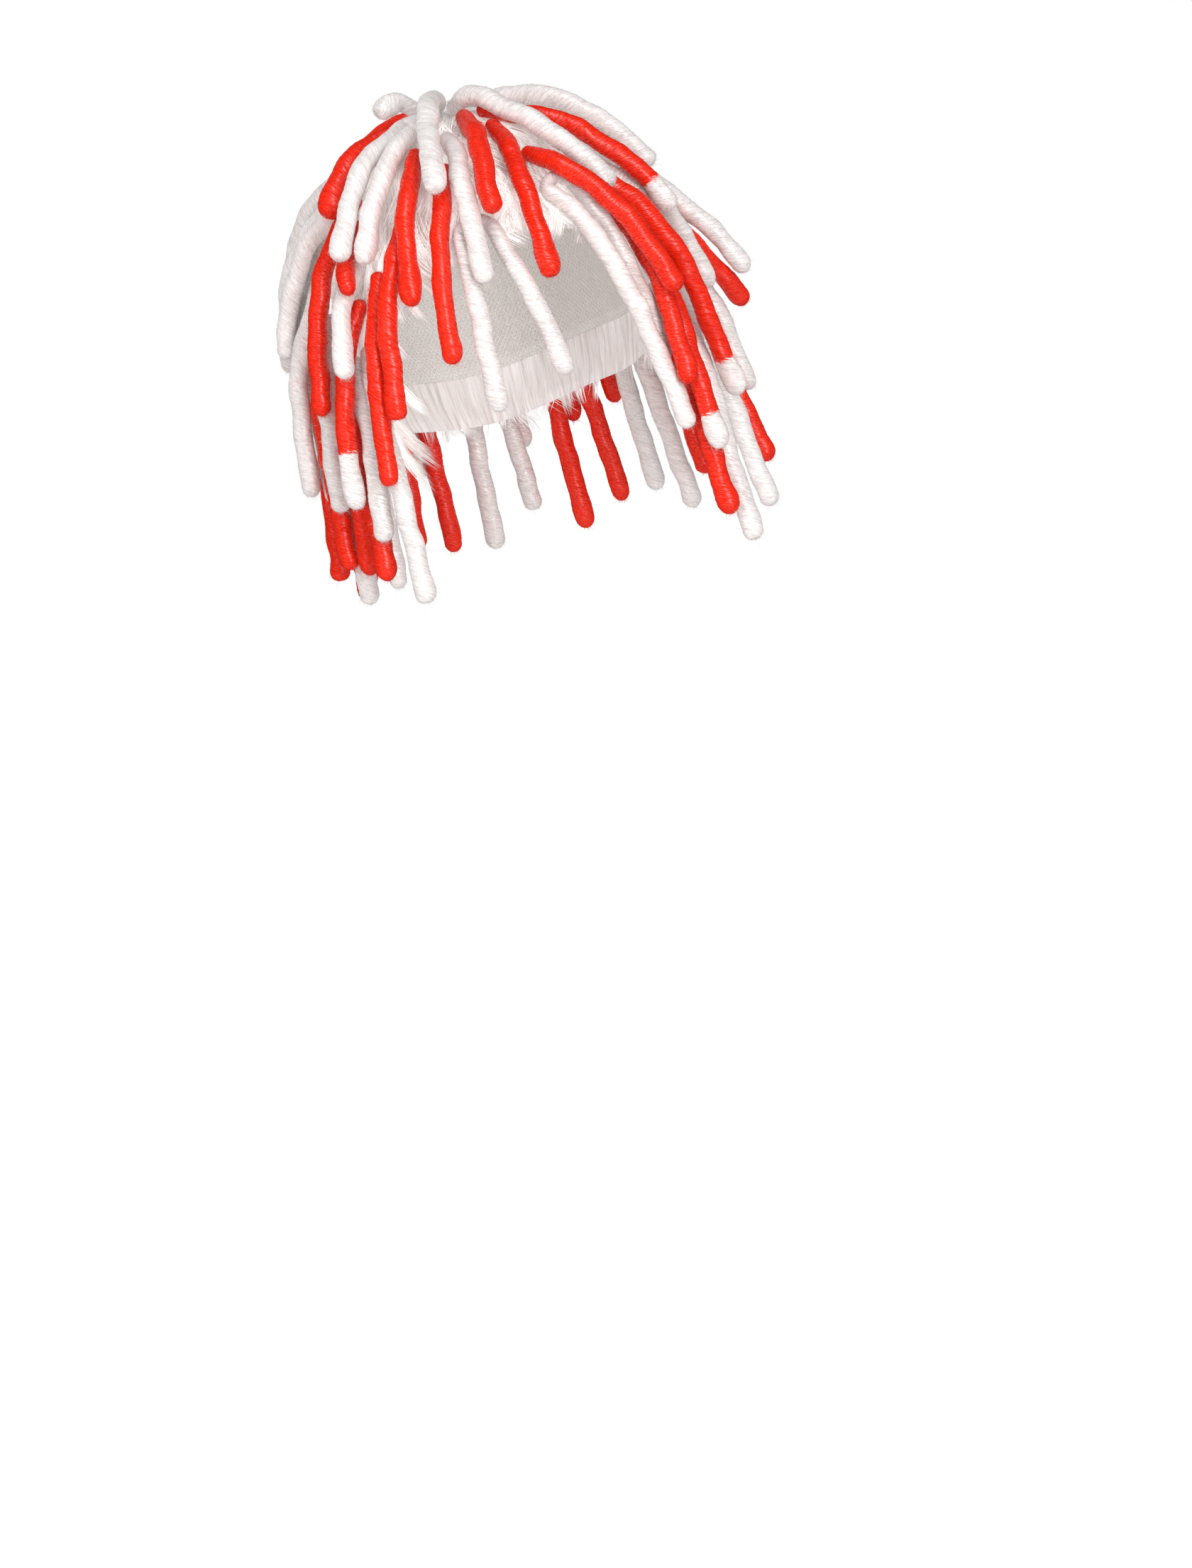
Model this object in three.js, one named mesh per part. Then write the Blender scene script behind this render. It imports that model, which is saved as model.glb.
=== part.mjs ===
// A two-colour dreadlock wig: a cloth cap, a layer of short white hair on it, and thread-wound locks sewn
// through the hair to the cap, which lie over each other as they hang.
// Millimetres, +Z up. The origin is the inside top of the cap, where the crown of a head bears.
// The front is towards -Y, so +X is the left as worn. Azimuth is in degrees round +Z, from the front to +X.
import * as THREE from "three";

// Driving dimensions
const HEAD = { halfWidth: 78, halfLength: 98, crownHeight: 100 }; // inside of the cap, crown to widest level
const CAP_WALL = 1.6;
const HAIR_DEPTH = 3.6;
const SEAT_GAP = 0.4; // between pieces that touch
const ROOT_GAP = 0.65; // between a lock's root and the facets of the hair
const LOCK_GIRTH = 10.8; // across the corners of a lock's faceted section
const ROOT_GIRTH = 6.8;
const ROOT_TAPER = 24; // length over which a lock swells from its root to its full girth
const ROOT_STUB = 0.07; // a root's blunt end, as a share of the first ring's distance
const FOLD_CLEAR = 1.1; // half the gap between the two legs of a folded root
const FOLD_RISE = 2.6; // radius of the fold, and how far it stands above its legs
const TIP_ROUND = 4.4;
const TIP_NOSE = { back: 1, girth: 0.62 }; // last ring of a rounded tip: back from its end, share of girth
const FLARE = 0.16; // share by which hanging locks stand out, far below the widest level
const FLARE_REACH = 110;
const SWING = 1.6; // how early a lock turns from the azimuth of its root to that of its tip
const RISEN = 0.5; // share of its length over which a lock rises to its lift, if its row gives no other

// Facets
const SHELL_COLUMNS = 40;
const CAP_ROWS = 6;
const FRINGE_ROWS = 2; // rows of the hair that hang below the cap's edge
const LOCK_SIDES = 6;
const RING_PITCH = 18;
const FEWEST_RINGS = 5;
const ROUTE_SAMPLES = 40; // for measuring a drawn route

const COLOURS = { red: 0xe0160c, white: 0xf2ece6, net: 0xe9e2da };
const DEGREE = Math.PI / 180;
const HAIR_OUTSIDE = CAP_WALL + SEAT_GAP + HAIR_DEPTH; // from the head form to the top of the hair

// Edges of the cap and the hair round the head, the same on both sides: heights at an azimuth, and the
// length of the hair's tufts there
const EDGES = [
  { azimuth: 0, cap: -50, hair: -58, tuft: 7 },
  { azimuth: 36, cap: -58, hair: -70, tuft: 9 },
  { azimuth: 54, cap: -86, hair: -106, tuft: 14 },
  { azimuth: 90, cap: -104, hair: -122, tuft: 18 },
  { azimuth: 130, cap: -118, hair: -138, tuft: 14 },
  { azimuth: 180, cap: -128, hair: -148, tuft: 12 },
];

// Locks that show from the front, one row for each hanging end. Rows with one lock number are two ends of a
// lock that is folded at its root. Azimuth and polar angle (from the crown) place the root on the hair,
// azimuth and height place the tip, and lift is how far the middle stands off the hair, over other locks.
// A lock that rises to its lift sooner or later than most ends its row with its own share of its length.
const COLUMNS = [
  "lock", "colour", "rootAzimuth", "rootPolar", "tipAzimuth", "tipHeight", "lift", "girth", "rise",
];
const FRONT_ENDS = [
  // Crown
  [1, "white", -48, 8, -68, 12, 9, 1.0, 0.35],
  [1, "white", -48, 8, -17, -30, 14, 1.12],
  [2, "white", -36, 20, -50, -54, 11, 1.06],
  [2, "white", -36, 20, -44, -53, 9, 1.05],
  [3, "red", -64, 23, -62, -29, 9, 1.25],
  [4, "red", 2, 23, -4, -46, 10, 1.08],
  [5, "red", 12, 32, 5, -82, 8, 1.0],
  [38, "red", 16, 46, 37.2, -111, 8, 1.05],
  [6, "white", -2, 16, 29.5, -52, 8, 1.05],
  [7, "red", 16, 22, 53, -67, 12, 1.0],
  [8, "white", 70, 12, 62, -43, 13, 1.05],
  // Upper rows
  [9, "white", 42, 54, 66, -108, 15, 0.95],
  [10, "white", 68, 46, 80, -114, 38, 1.0, 1.5],
  [11, "red", 36, 56, 57, -165, 14, 1.05],
  [12, "red", 62, 60, 84, -125, 42, 1.0, 1.5],
  [13, "red", -27, 36, -30, -79, 8, 1.0],
  [14, "red", -15, 44, -23, -110, 8, 0.98],
  [15, "white", -12, 33, -11, -79, 8, 1.05],
  [16, "red", -63, 46, -78, -122, 8, 1.02],
  [17, "white", -82, 42, -108, -95, 8, 0.98],
  [17, "white", -82, 42, -96, -96, 8, 1.0],
  [18, "red", -55, 55, -54, -72, 7, 0.96],
  // Hairline and temples
  [19, "red", -33, 58, -44, -130, 9, 1.02],
  [20, "red", -44, 70, -50, -162, 8, 1.0],
  [21, "white", -53, 63, -57.5, -109, 11, 1.0, 0.9],
  [22, "white", 20, 58, 36.5, -171, 5, 1.0],
  [22, "white", 20, 58, 41, -136, 0, 0.85],
  [23, "white", -9.5, 64, -15, -139, 6, 0.98],
  [23, "white", -9.5, 64, 2.5, -130, 6, 0.9],
  [24, "red", 37, 68, 36, -153, 8, 0.98],
  [25, "red", 46, 74, 37.5, -186, 10, 1.02],
  [26, "red", 50, 84, 38, -218, 3, 1.05],
  [27, "white", 72, 68, 84, -168, 15, 0.98],
  [28, "red", 84, 84, 82, -203, 14, 1.0],
  [29, "white", 69, 88, 45.5, -234, 3, 1.05],
  [29, "white", 69, 88, 71, -224, 7, 1.0],
  [30, "white", -96, 64, -95, -164, 10, 1.0],
  [31, "white", -76, 78, -79, -171, 11, 1.0],
  [32, "red", -54, 76, -62.5, -173, 6, 1.02],
  [33, "white", -64, 90, -60, -188, 6, 1.05],
  [34, "red", -95, 86, -99, -206, 12, 1.02],
  [34, "red", -95, 86, -87, -202, 6, 1.0],
  [35, "red", -75, 94, -82, -205, 2, 1.0],
  [35, "red", -75, 94, -66, -208, 2, 1.05],
  [36, "white", -90, 96, -91, -220, 1, 1.02],
  [37, "white", -56, 88, -49, -221, 2, 1.02],
];

// Rows of folded locks across the back of the head, from the first azimuth to the last
const BACK_COLUMNS = ["first", "last", "locks", "rootPolar", "rootStagger", "tipHeight", "lift", "colours"];
const BACK_ROWS = [
  [116, 242, 6, 13, 14, -104, 17, "WRWRRW"],
  [100, 258, 7, 50, 6, -165, 10, "RWRWWRW"],
  [110, 250, 7, 84, 7, -214, 1, "RWRWRWR"],
];
const BACK_TIP_STAGGER = 9; // neighbouring ends hang this much higher and lower

// Relaxing the drawn routes until no lock lies in another
const SETTLE_ROUNDS = 420;
const SETTLE_HOLD = 0.02; // pull back towards the drawn route, gone by the end
const SETTLE_BEND = 0.22; // stiffness of the wound core
const KEPT_BEND = 0.7; // share of the drawn bend that the core springs back to
const KEPT_LENGTH = 0.5; // share of a stretch that is taken back in a round
const SETTLE_PUSH = 1.4; // over-relaxation of a contact
const SETTLE_CLEAR = 0.55; // gap that the contacts aim for
const CONTACTS_ALONE = 0.12; // share of the rounds, at the end, that only part the locks

const smooth = (t) => {
  const s = Math.min(1, Math.max(0, t));
  return s * s * (3 - 2 * s);
};

// The value of an edge column at an azimuth, eased between the rows of the table
function edgeAt(azimuth, column) {
  const round = Math.abs(((azimuth + 540) % 360) - 180);
  const next = Math.max(1, EDGES.findIndex((row) => row.azimuth >= round - 1e-9));
  const [low, high] = [EDGES[next - 1], EDGES[next]];
  const share = smooth((round - low.azimuth) / (high.azimuth - low.azimuth));
  return low[column] + (high[column] - low[column]) * share;
}

// A point on the head form grown by an offset, at an azimuth and a polar angle from the crown
function headPoint(azimuth, polar, offset) {
  const [side, front] = [Math.sin(azimuth * DEGREE), Math.cos(azimuth * DEGREE)];
  const reach = 1 / Math.hypot(side / (HEAD.halfWidth + offset), front / (HEAD.halfLength + offset));
  const across = reach * Math.sin(polar * DEGREE);
  const height = (HEAD.crownHeight + offset) * Math.cos(polar * DEGREE) - HEAD.crownHeight;
  return new THREE.Vector3(across * side, -across * front, height);
}

const polarAtHeight = (height, offset) =>
  Math.acos((height + HEAD.crownHeight) / (HEAD.crownHeight + offset)) / DEGREE;

// A closed wall over the head: a crown point and rings of columns outside, the same inside, joined at the rim
function shell(outsideAt, insideAt, rows) {
  const points = [];
  const faces = [];
  const layer = (pointAt) => {
    const start = points.length;
    points.push(pointAt(0, 0));
    for (let row = 1; row <= rows; row++)
      for (let column = 0; column < SHELL_COLUMNS; column++) points.push(pointAt(column, row));
    const ringStart = (row) => start + 1 + (row - 1) * SHELL_COLUMNS;
    return (column, row) => (row ? ringStart(row) + (column % SHELL_COLUMNS) : start);
  };
  const outside = layer(outsideAt);
  const inside = layer(insideAt);
  for (let column = 0; column < SHELL_COLUMNS; column++) {
    faces.push(outside(column, 1), outside(column + 1, 1), outside(0, 0));
    faces.push(inside(column + 1, 1), inside(column, 1), inside(0, 0));
    for (let row = 1; row < rows; row++) {
      const corners = [[0, 1], [1, 1], [1, 0], [0, 0]].map(([across, down]) => [column + across, row + down]);
      quad(faces, ...corners.map(([at, level]) => outside(at, level)));
      const [a, b, c, d] = corners.map(([at, level]) => inside(at, level));
      quad(faces, c, b, a, d);
    }
    const edge = (layer) => [layer(column, rows), layer(column + 1, rows)];
    quad(faces, ...edge(inside), ...edge(outside).reverse());
  }
  return geometryOf(points, faces);
}

function quad(faces, a, b, c, d) {
  faces.push(a, b, c, a, c, d);
}

function geometryOf(points, faces) {
  const geometry = new THREE.BufferGeometry().setFromPoints(points);
  geometry.setIndex(faces);
  geometry.computeVertexNormals();
  return geometry;
}

// How far the facets of the hair lie below its rounded form, on the way in from an azimuth and a polar angle
function hairSink(hair, azimuth, polar) {
  const from = headPoint(azimuth, polar, HAIR_OUTSIDE);
  const inward = new THREE.Vector3(0, 0, -HEAD.crownHeight).sub(from).normalize();
  const above = from.clone().addScaledVector(inward, -HAIR_DEPTH);
  const [hit] = new THREE.Raycaster(above, inward, 0, 3 * HAIR_DEPTH).intersectObject(hair);
  return hit ? hit.distance - HAIR_DEPTH : 0;
}

const columnAzimuth = (column) => (column * 360) / SHELL_COLUMNS;

// The cap and the hair share their rows down to the cap's edge, so that their facets lie parallel
function capPolar(column, row) {
  const azimuth = columnAzimuth(column);
  return (polarAtHeight(edgeAt(azimuth, "cap"), 0) * Math.min(row, CAP_ROWS)) / CAP_ROWS;
}

function capGeometry() {
  const wall = (offset) => (column, row) => headPoint(columnAzimuth(column), capPolar(column, row), offset);
  return shell(wall(CAP_WALL), wall(0), CAP_ROWS);
}

// Short hair: a layer over the cap, laid in clumps, that hangs below the cap's edge and ends in tufts
function hairGeometry() {
  const clump = 0.9; // how much lower the hair lies between clumps
  const endDepth = 1.2;
  const shortTuft = -0.4; // every other tuft ends this share of a tuft above the edge
  const rows = CAP_ROWS + FRINGE_ROWS;
  const polarOf = (column, row) => {
    if (row <= CAP_ROWS) return capPolar(column, row);
    const azimuth = columnAzimuth(column);
    const tuft = edgeAt(azimuth, "tuft") * (column % 2 ? 1 : shortTuft);
    const end = polarAtHeight(edgeAt(azimuth, "hair") - tuft, 0);
    const start = capPolar(column, CAP_ROWS);
    return start + ((end - start) * (row - CAP_ROWS)) / FRINGE_ROWS;
  };
  const inner = CAP_WALL + SEAT_GAP;
  const depth = (column, row) => {
    const thinned = row <= CAP_ROWS ? 0 : (row - CAP_ROWS) / FRINGE_ROWS;
    const laid = HAIR_DEPTH - (column % 2 && row ? 0 : clump);
    return laid + (endDepth - laid) * thinned;
  };
  return shell(
    (column, row) => headPoint(columnAzimuth(column), polarOf(column, row), inner + depth(column, row)),
    (column, row) => headPoint(columnAzimuth(column), polarOf(column, row), inner),
    rows,
  );
}

// Where a lock's axis is drawn: over the dome down to the widest level, then hanging with a slight flare.
// Down is the polar angle, and past 90 it goes on at the same pace straight down.
const MM_PER_DOWN = HEAD.crownHeight * DEGREE;

function drapePoint(azimuth, down, offset) {
  const point = headPoint(azimuth, Math.min(down, 90), HAIR_OUTSIDE + offset);
  const drop = Math.max(0, down - 90) * MM_PER_DOWN;
  const stand = 1 + (FLARE * drop * drop) / (drop + FLARE_REACH) / 100;
  return new THREE.Vector3(point.x * stand, point.y * stand, point.z - drop);
}

function downAtHeight(height, offset) {
  const drop = -HEAD.crownHeight - height;
  return drop > 0 ? 90 + drop / MM_PER_DOWN : polarAtHeight(height, HAIR_OUTSIDE + offset);
}

// One hanging end: its axis as points from root to tip, with a radius at each
function drawEnd(row, side, hair) {
  const full = (LOCK_GIRTH / 2) * row.girth;
  const root = ROOT_GIRTH / 2;
  const down = [row.rootPolar, downAtHeight(row.tipHeight, full + row.lift)];
  const rootReach = HEAD.halfWidth * Math.sin(row.rootPolar * DEGREE);
  const rootSide = (side * (root + FOLD_CLEAR)) / (rootReach * DEGREE);
  const azimuth = [row.rootAzimuth + rootSide, row.tipAzimuth];
  const sink = hairSink(hair, azimuth[0], row.rootPolar);
  const at = (t) => {
    const swing = 1 - Math.pow(1 - t, SWING);
    const off = root + ROOT_GAP - sink + (full - root + row.lift + sink) * smooth(t / (row.rise ?? RISEN));
    const between = ([from, to], share) => from + (to - from) * share;
    return drapePoint(between(azimuth, swing), between(down, t), off);
  };
  const samples = Array.from({ length: ROUTE_SAMPLES + 1 }, (_, i) => at(i / ROUTE_SAMPLES));
  const length = samples.reduce((sum, point, i) => (i ? sum + point.distanceTo(samples[i - 1]) : 0), 0);
  const steps = Math.max(FEWEST_RINGS, Math.round(length / RING_PITCH));
  const points = Array.from({ length: steps + 1 }, (_, i) => at(i / steps));
  const radii = points.map((_, i) => root + (full - root) * smooth((i * length) / steps / ROOT_TAPER));
  return { ...row, points, radii, drawn: points.map((point) => point.clone()) };
}

// Closest points of two segments, as shares along each
function closestShares(a, b, c, d) {
  const ab = b.clone().sub(a);
  const cd = d.clone().sub(c);
  const ac = a.clone().sub(c);
  const [abab, cdcd, abcd] = [ab.dot(ab), cd.dot(cd), ab.dot(cd)];
  const clamp = (x) => Math.min(1, Math.max(0, x));
  const denominator = abab * cdcd - abcd * abcd;
  let s = denominator > 1e-9 ? clamp((abcd * cd.dot(ac) - cdcd * ab.dot(ac)) / denominator) : 0.5;
  const t = clamp((abcd * s + cd.dot(ac)) / cdcd);
  s = clamp((abcd * t - ab.dot(ac)) / abab);
  return [s, t];
}

// Moves two segments apart where their lock radii and the gap don't fit between them
function separate(one, i, other, j) {
  const [a, b, c, d] = [one.points[i], one.points[i + 1], other.points[j], other.points[j + 1]];
  const [s, t] = closestShares(a, b, c, d);
  const apart = a.clone().lerp(b, s).sub(c.clone().lerp(d, t));
  const distance = apart.length() || 1e-6;
  const needed =
    one.radii[i] + (one.radii[i + 1] - one.radii[i]) * s +
    other.radii[j] + (other.radii[j + 1] - other.radii[j]) * t + SETTLE_CLEAR;
  if (distance >= needed) return;
  apart.multiplyScalar((needed - distance) / distance / 2);
  const push = (points, index, share, sign) => {
    if (index > 0) points[index].addScaledVector(apart, sign * share);
  };
  push(one.points, i, 1 - s, SETTLE_PUSH);
  push(one.points, i + 1, s, SETTLE_PUSH);
  push(other.points, j, 1 - t, -SETTLE_PUSH);
  push(other.points, j + 1, t, -SETTLE_PUSH);
}

// Keeps a lock's axis clear of the hair, and below the widest level clear of the space inside the wig
function clearHair(point, radius) {
  const grown = HAIR_OUTSIDE + radius + SEAT_GAP;
  const [a, b, c] = [HEAD.halfWidth + grown, HEAD.halfLength + grown, HEAD.crownHeight + grown];
  const height = Math.max(0, point.z + HEAD.crownHeight);
  const q = Math.hypot(point.x / a, point.y / b, height / c);
  if (q >= 1) return;
  point.x /= q;
  point.y /= q;
  if (height) point.z = height / q - HEAD.crownHeight;
}

function holdShape(end, hold) {
  const { points, drawn } = end;
  for (let i = 1; i < points.length; i++) points[i].lerp(drawn[i], hold);
  for (let i = 1; i < points.length - 1; i++) {
    const middle = points[i - 1].clone().add(points[i + 1]).multiplyScalar(0.5);
    const drawnMiddle = drawn[i - 1].clone().add(drawn[i + 1]).multiplyScalar(0.5);
    const wanted = drawn[i].clone().sub(drawnMiddle).multiplyScalar(KEPT_BEND).add(middle);
    points[i].lerp(wanted, SETTLE_BEND);
  }
  for (let i = 1; i < points.length; i++) {
    const length = drawn[i].distanceTo(drawn[i - 1]);
    const step = points[i].clone().sub(points[i - 1]);
    points[i].addScaledVector(step, KEPT_LENGTH * (length / step.length() - 1));
  }
}

function settle(ends) {
  for (let round = 0; round < SETTLE_ROUNDS; round++) {
    const left = 1 - round / SETTLE_ROUNDS;
    const boxOf = (end) => new THREE.Box3().setFromPoints(end.points).expandByScalar(LOCK_GIRTH);
    const boxes = ends.map(boxOf);
    if (left > CONTACTS_ALONE) ends.forEach((end) => holdShape(end, SETTLE_HOLD * left));
    ends.forEach((one, m) => {
      for (let n = m + 1; n < ends.length; n++) {
        if (!boxes[m].intersectsBox(boxes[n])) continue;
        for (let i = 0; i < one.points.length - 1; i++)
          for (let j = 0; j < ends[n].points.length - 1; j++) separate(one, i, ends[n], j);
      }
    });
    ends.forEach((end) => end.points.forEach((point, i) => i && clearHair(point, end.radii[i])));
  }
}

// The rings of one end from root to tip, its tip rounded by two short ones
function stations(end) {
  const { points, radii } = end;
  const last = points.length - 1;
  const rings = points.slice(0, last).map((point, i) => ({ point, radius: radii[i] }));
  const back = points[last - 1].clone().sub(points[last]).normalize();
  const fromTip = (distance, share) => ({
    point: points[last].clone().addScaledVector(back, distance),
    radius: radii[last] * share,
  });
  return [...rings, fromTip(TIP_ROUND, 1), fromTip(TIP_NOSE.back, TIP_NOSE.girth), fromTip(0, 0)];
}

// A tube through rings, with a point at each end
function tubeGeometry(rings) {
  const points = [];
  const faces = [];
  const last = rings.length - 1;
  const direction = (i) =>
    rings[Math.min(last, i + 1)].point.clone().sub(rings[Math.max(0, i - 1)].point).normalize();
  let across = new THREE.Vector3(1, 0.5, 0.2); // any direction that no lock follows
  rings.forEach(({ point, radius }, i) => {
    if (!radius) {
      points.push(point);
      return;
    }
    const along = direction(i);
    across = across.addScaledVector(along, -across.dot(along)).normalize();
    const upright = along.clone().cross(across);
    for (let side = 0; side < LOCK_SIDES; side++) {
      const angle = (side * 2 * Math.PI) / LOCK_SIDES;
      const corner = point.clone().addScaledVector(across, radius * Math.cos(angle));
      points.push(corner.addScaledVector(upright, radius * Math.sin(angle)));
    }
  });
  const vertex = (ring, side) => 1 + (ring - 1) * LOCK_SIDES + (side % LOCK_SIDES);
  for (let side = 0; side < LOCK_SIDES; side++) {
    faces.push(0, vertex(1, side + 1), vertex(1, side));
    for (let ring = 1; ring < last - 1; ring++)
      quad(
        faces,
        vertex(ring, side),
        vertex(ring, side + 1),
        vertex(ring + 1, side + 1),
        vertex(ring + 1, side),
      );
    faces.push(points.length - 1, vertex(last - 1, side), vertex(last - 1, side + 1));
  }
  return geometryOf(points, faces);
}

// A lock with one end starts in a blunt root, and one with two ends is folded over at the root
function lockGeometry(ends) {
  const [one, two] = ends.map(stations);
  if (!two) {
    const start = one[0].point.clone().lerp(one[1].point, -ROOT_STUB);
    return tubeGeometry([{ point: start, radius: 0 }, ...one]);
  }
  const fold = one[0].point.clone().add(two[0].point).multiplyScalar(0.5);
  const upward = fold.clone().sub(one[1].point.clone().add(two[1].point).multiplyScalar(0.5)).normalize();
  fold.addScaledVector(upward, FOLD_RISE);
  return tubeGeometry([...one.reverse(), { point: fold, radius: FOLD_RISE }, ...two]);
}

const asRow = (columns) => (values) => Object.fromEntries(columns.map((name, i) => [name, values[i]]));

function backEnds(firstLock) {
  const found = [];
  let lock = firstLock;
  for (const row of BACK_ROWS.map(asRow(BACK_COLUMNS))) {
    const pitch = (row.last - row.first) / (row.locks - 1);
    for (let number = 0; number < row.locks; number++, lock++)
      for (const side of [-1, 1]) {
        const rootAzimuth = row.first + pitch * number;
        found.push({
          lock,
          colour: row.colours[number] === "R" ? "red" : "white",
          rootAzimuth,
          rootPolar: row.rootPolar + (number % 2) * row.rootStagger,
          tipAzimuth: rootAzimuth + (side * pitch) / 4,
          tipHeight: row.tipHeight + BACK_TIP_STAGGER * Math.sin(2.4 * found.length),
          lift: row.lift,
          girth: 1 + 0.05 * Math.sin(3.7 * found.length),
        });
      }
  }
  return found;
}

const material = (colour, roughness) =>
  new THREE.MeshStandardMaterial({ color: COLOURS[colour], roughness, metalness: 0 });
const wig = new THREE.Group();
function add(name, geometry, finish) {
  const mesh = new THREE.Mesh(geometry, finish);
  mesh.name = name;
  wig.add(mesh);
  return mesh;
}

add("cap", capGeometry(), material("net", 0.9));
const hair = add("short_hair", hairGeometry(), material("white", 0.6));

const frontEnds = FRONT_ENDS.map(asRow(COLUMNS));
const rows = [...frontEnds, ...backEnds(Math.max(...frontEnds.map((row) => row.lock)) + 1)];
const ends = rows.map((row, i) => {
  const before = rows[i - 1]?.lock === row.lock;
  const after = rows[i + 1]?.lock === row.lock;
  return drawEnd(row, before ? 1 : after ? -1 : 0, hair);
});
settle(ends);

const finishes = { red: material("red", 0.5), white: material("white", 0.5) };
for (const number of new Set(ends.map((end) => end.lock))) {
  const own = ends.filter((end) => end.lock === number);
  const name = `${own[0].colour}_lock_${String(number).padStart(2, "0")}`;
  add(name, lockGeometry(own), finishes[own[0].colour]);
}

export default wig;
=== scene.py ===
"""Looks of a two-colour dreadlock wig: thread-wound locks, combed short hair and a net cap.

Metres, +Z up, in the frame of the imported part. The front of the wig is towards -Y.
"""
import math
from collections import namedtuple

import bpy
import numpy as np
from mathutils import Matrix, Vector


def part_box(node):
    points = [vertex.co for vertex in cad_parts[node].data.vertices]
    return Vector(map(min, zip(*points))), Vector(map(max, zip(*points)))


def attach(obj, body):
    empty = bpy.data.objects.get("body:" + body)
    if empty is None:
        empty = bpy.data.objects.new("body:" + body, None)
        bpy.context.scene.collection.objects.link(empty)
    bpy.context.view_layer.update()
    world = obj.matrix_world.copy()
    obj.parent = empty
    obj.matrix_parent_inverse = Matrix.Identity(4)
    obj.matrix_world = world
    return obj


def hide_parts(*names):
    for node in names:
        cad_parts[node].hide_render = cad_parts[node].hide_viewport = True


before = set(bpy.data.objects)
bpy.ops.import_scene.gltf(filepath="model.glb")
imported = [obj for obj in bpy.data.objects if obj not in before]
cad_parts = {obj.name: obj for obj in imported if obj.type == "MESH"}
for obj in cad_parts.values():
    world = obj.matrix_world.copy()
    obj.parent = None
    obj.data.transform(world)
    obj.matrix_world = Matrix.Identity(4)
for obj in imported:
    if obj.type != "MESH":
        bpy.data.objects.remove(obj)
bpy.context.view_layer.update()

MM = 0.001
DEGREE = math.pi / 180
TURN = 2 * math.pi

# Head form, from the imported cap
CROWN_HEIGHT = 100 * MM  # from the widest level of the head form up to the inside of the crown
CAP_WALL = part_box("cap")[1].z
HALF_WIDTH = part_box("cap")[1].x - CAP_WALL
HALF_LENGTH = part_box("cap")[1].y - CAP_WALL
MEAN_RADIUS = 88 * MM
HEAD_CENTRE = np.array([0, 0, -CROWN_HEIGHT])
CROWN_SHARE = 0.004  # where a shell's first ring lies, as a share of the way to its rim

# Locks
FIRST_BACK_LOCK = 39  # locks from this number on hang at the back
Weave = namedtuple("Weave", "sides step")
FRONT_WEAVE = Weave(20, 0.85 * MM)
BACK_WEAVE = Weave(14, 1.3 * MM)
CLOSING_STEPS = np.array([0.02, 0.12, 0.3, 0.55]) * MM  # rings that round off each end
LOCK_SEED = 500
LOCK_FULLNESS = 0.88  # a wound lock's girth as a share of its solid's, across corners
ROOT_FULLNESS = 0.5  # 1 thins a lock to its root as its solid does, 0 not at all
TIP_ROUND = (4.6 * MM, 7.4 * MM)  # shortest and longest rounding of a tip
TIP_BLUNTNESS = (2.0, 2.7)
ROOT_ROUND = 3 * MM
ROOT_BLUNTNESS = 2
NOSE_REACH = 6 * MM  # the first two rings of a rounded tip lie closer together than this
WANDER = 0.5 * MM  # of a lock's axis to either side
WANDER_PITCH = 38 * MM
WANDER_FADE = 14 * MM  # length over which the wander grows from nothing at an end

# Wandering waves, each the sum of three
WAVE_STRETCHES = (0.62, 1.0, 1.7)  # lengths of the three, as shares of the pitch
WAVE_SPREAD = (0.85, 1.15)  # least and greatest factor on each length
WAVE_REACH = 2.2  # divides the sum, which then lies between about -1 and 1

# Swellings of a lock, as shares of its girth
BULGE = 0.04
BULGE_PITCH = 21 * MM
LOBE = 0.02
LOBES_ROUND = (2, 3)
LOBE_TWIST = 5  # radians that the lobes turn to either side
WRAP = 0.013
WRAP_PITCH = 3.4 * MM
WRAP_SPREAD = (0.85, 1.2)
WRAP_DRIFT = 0.35  # turns that the wraps run early or late
WRAP_CHANGE = 0.6
TIP_SWELL = (0.0, 0.1)
TIP_SWELLS = {"red_lock_03": 0.2, "red_lock_05": 0.14, "red_lock_13": 0.2, "white_lock_23": 0.14}
WHITE_END_SWELL = 0.12
TIP_SWELL_PLACE = 8 * MM  # from the tip
TIP_SWELL_REACH = 7 * MM

# Lengths of the white ends of red locks
WHITE_ENDS = {
    "red_lock_07": 17 * MM,
    "red_lock_11": 19 * MM,
    "red_lock_25": 17 * MM,
    "red_lock_32": 28 * MM,
}
NO_CHANGE = -100.0  # far before any change of colour, in millimetres

# Loose fibres of the locks: how far they lean along a lock and stand off it, and their usual reach
Fuzz = namedtuple("Fuzz", "along out reach")
BODY_FUZZ = Fuzz(0.35, 0.55, 0.75 * MM)
TIP_FUZZ = Fuzz(0.9, 0.8, 0.8 * MM)
ROOT_FUZZ = Fuzz(1.2, 0.7, 1.1 * MM)
FIBRE_SEED = 11
FIBRE_THICKNESS = 0.12 * MM
FIBRE_POINTS = 3
FIBRE_LENGTHS = (0.5 * MM, 4.5 * MM)  # shortest and longest
FIBRE_EVENNESS = 2.2  # shape of the gamma spread of lengths
FIBRE_WINDING = 0.9  # how far a fibre follows the winding
FIBRE_STAND = (0.3, 1.6)  # least and greatest factor on how far it stands off
FIBRE_LEAN = (0.6, 0.8)  # mean and spread of the factor on how far it leans along
FIBRE_BEND = 0.7
FIBRE_STRAY = 0.5  # spread of the way that it bends
FIBRE_RETURN = 0.9  # how far it bends back to the lock
FRONT_FIBRES_PER_MM = 2.4
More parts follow.
